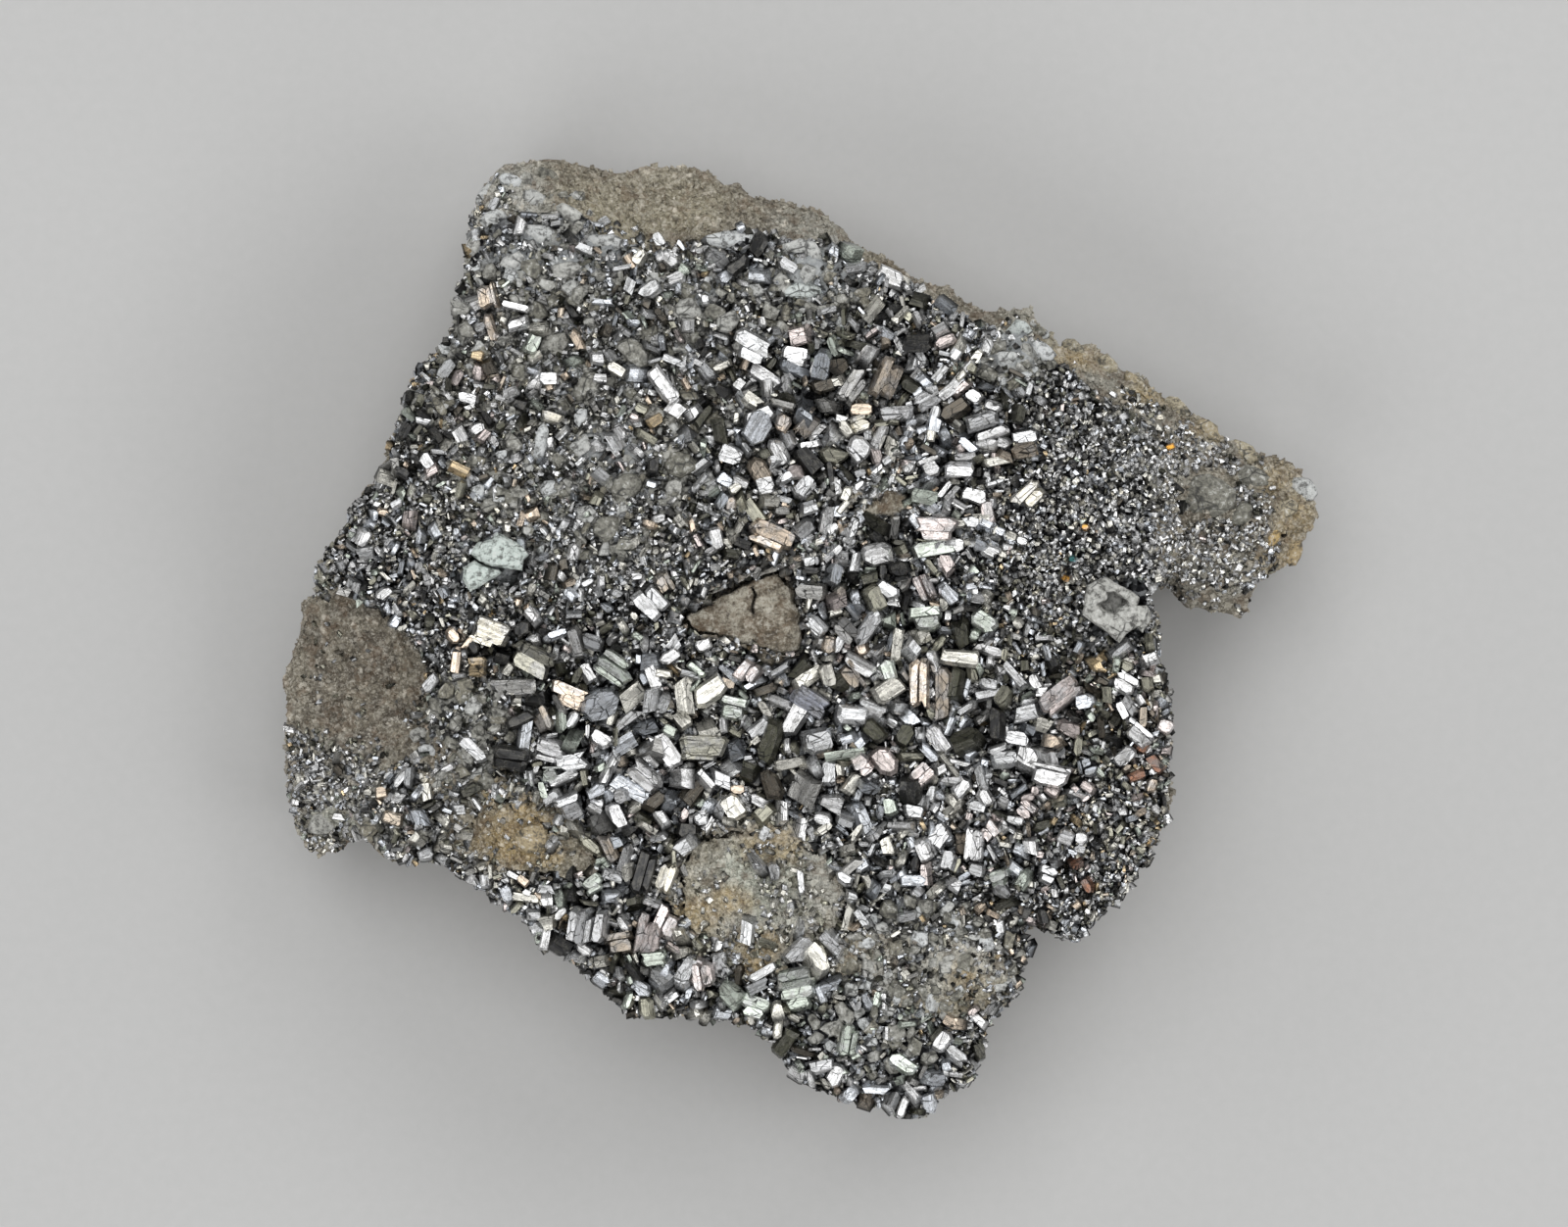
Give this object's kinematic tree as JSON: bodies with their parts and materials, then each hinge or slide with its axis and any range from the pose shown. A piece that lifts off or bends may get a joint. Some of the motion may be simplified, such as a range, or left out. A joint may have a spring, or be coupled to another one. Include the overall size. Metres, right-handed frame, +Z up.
{
  "type": "chalcocite specimen",
  "caption": "Irregular slab of brown-grey rock with a crust of metallic chalcocite crystals over its face, lying flat on its trimmed underside.",
  "frame": {"origin": "middle of the slab's outline on its flat underside", "axes": "+X along the longest side, +Y across the face, +Z up out of the crystal face"},
  "size_m": [0.054, 0.0494, 0.0143],
  "materials": {
    "matrix_stone": "rough granular brown-grey rock with ochre stains",
    "chalcocite_dark": "dark grey metallic crystals with sooty black gaps",
    "chalcocite_bright": "bright steel-grey crystal faces with fine striations",
    "chalcocite_warm": "peach, pink and brown tarnish on striated metallic faces",
    "chalcocite_cool": "pale green and lilac tarnish on striated metallic faces"
  },
  "bodies": {
    "root": {"matrix_rock": "matrix_stone", "chalcocite_crust": "chalcocite_dark", "ring_crystal": "chalcocite_cool", "crystal_01": "chalcocite_cool", "crystal_02": "chalcocite_bright", "crystal_03": "chalcocite_warm", "crystal_04": "chalcocite_cool", "crystal_05": "chalcocite_cool", "crystal_06": "chalcocite_warm", "crystal_07": "chalcocite_warm", "crystal_08": "chalcocite_warm", "crystal_09": "chalcocite_warm", "crystal_10": "chalcocite_warm", "crystal_11": "chalcocite_bright", "crystal_12": "chalcocite_bright", "crystal_13": "chalcocite_warm", "crystal_14": "chalcocite_cool", "crystal_15": "chalcocite_dark", "crystal_16": "chalcocite_bright", "crystal_17": "chalcocite_cool", "crystal_18": "chalcocite_warm", "crystal_19": "chalcocite_bright", "crystal_20": "chalcocite_bright", "crystal_21": "chalcocite_bright", "crystal_22": "chalcocite_warm", "crystal_23": "chalcocite_warm", "crystal_24": "chalcocite_dark", "crystal_25": "chalcocite_bright", "crystal_26": "chalcocite_warm", "crystal_27": "chalcocite_bright", "crystal_28": "chalcocite_warm", "crystal_29": "chalcocite_bright", "crystal_30": "chalcocite_bright", "crystal_31": "chalcocite_bright", "crystal_32": "chalcocite_warm", "crystal_33": "chalcocite_warm", "crystal_34": "chalcocite_bright", "crystal_35": "chalcocite_bright", "crystal_36": "chalcocite_bright", "crystal_37": "chalcocite_cool", "crystal_38": "chalcocite_bright", "crystal_39": "chalcocite_warm", "crystal_40": "chalcocite_bright"}
  },
  "joints": []
}
